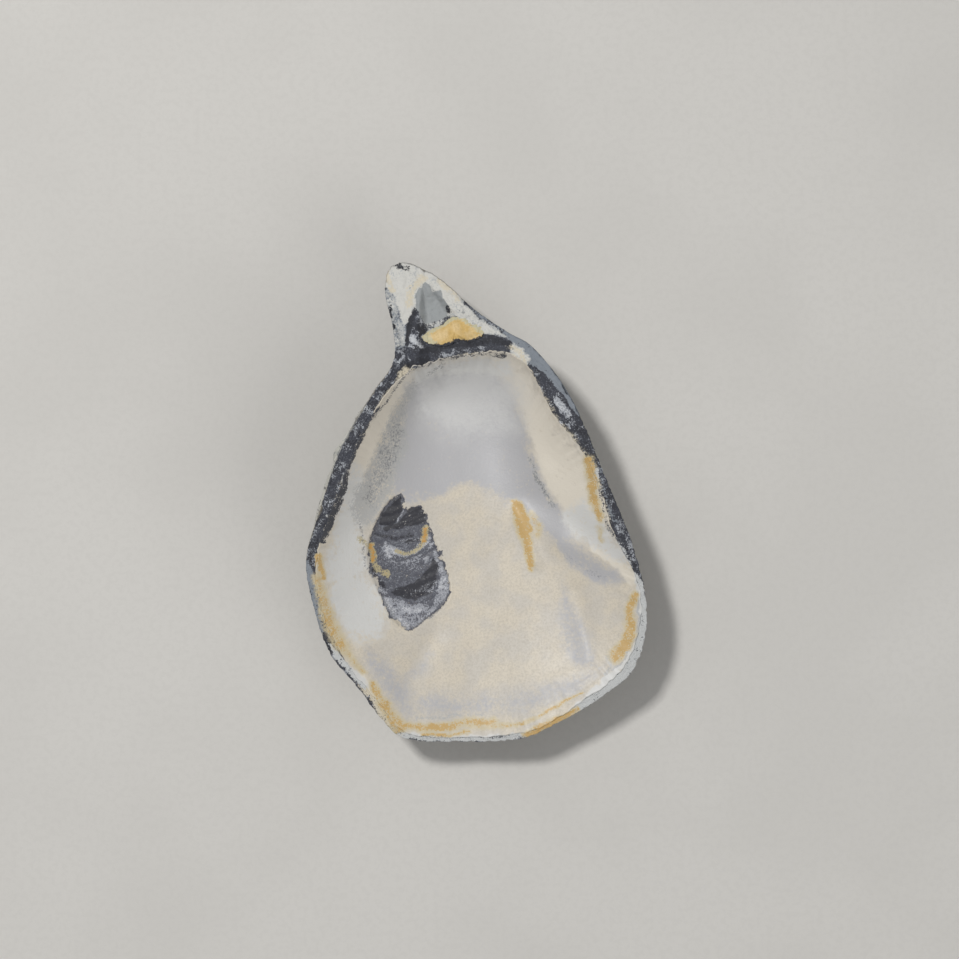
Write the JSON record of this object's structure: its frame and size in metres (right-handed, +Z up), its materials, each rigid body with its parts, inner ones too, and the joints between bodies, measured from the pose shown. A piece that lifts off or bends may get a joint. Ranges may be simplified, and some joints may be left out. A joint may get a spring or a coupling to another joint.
{
  "type": "oyster half shell",
  "caption": "Empty cupped half of an oyster shell with a pointed beak, muscle scar, thin layered lip and flaky outside, lying hollow side up.",
  "frame": {"origin": "on the ground, under the middle of the shell's bounding box", "axes": "+Z up out of the hollow, +Y along the shell towards the beak and hinge, +X to the right seen from above with the beak up"},
  "size_m": [0.0797, 0.1125, 0.0221],
  "materials": {
    "shell": "satin cream and lavender grey lining, chalky slate grey growth plates outside",
    "ligament": "dry horny ochre with a dark torn edge"
  },
  "bodies": {
    "root": {"shell": "shell", "ligament": "ligament"}
  },
  "joints": []
}
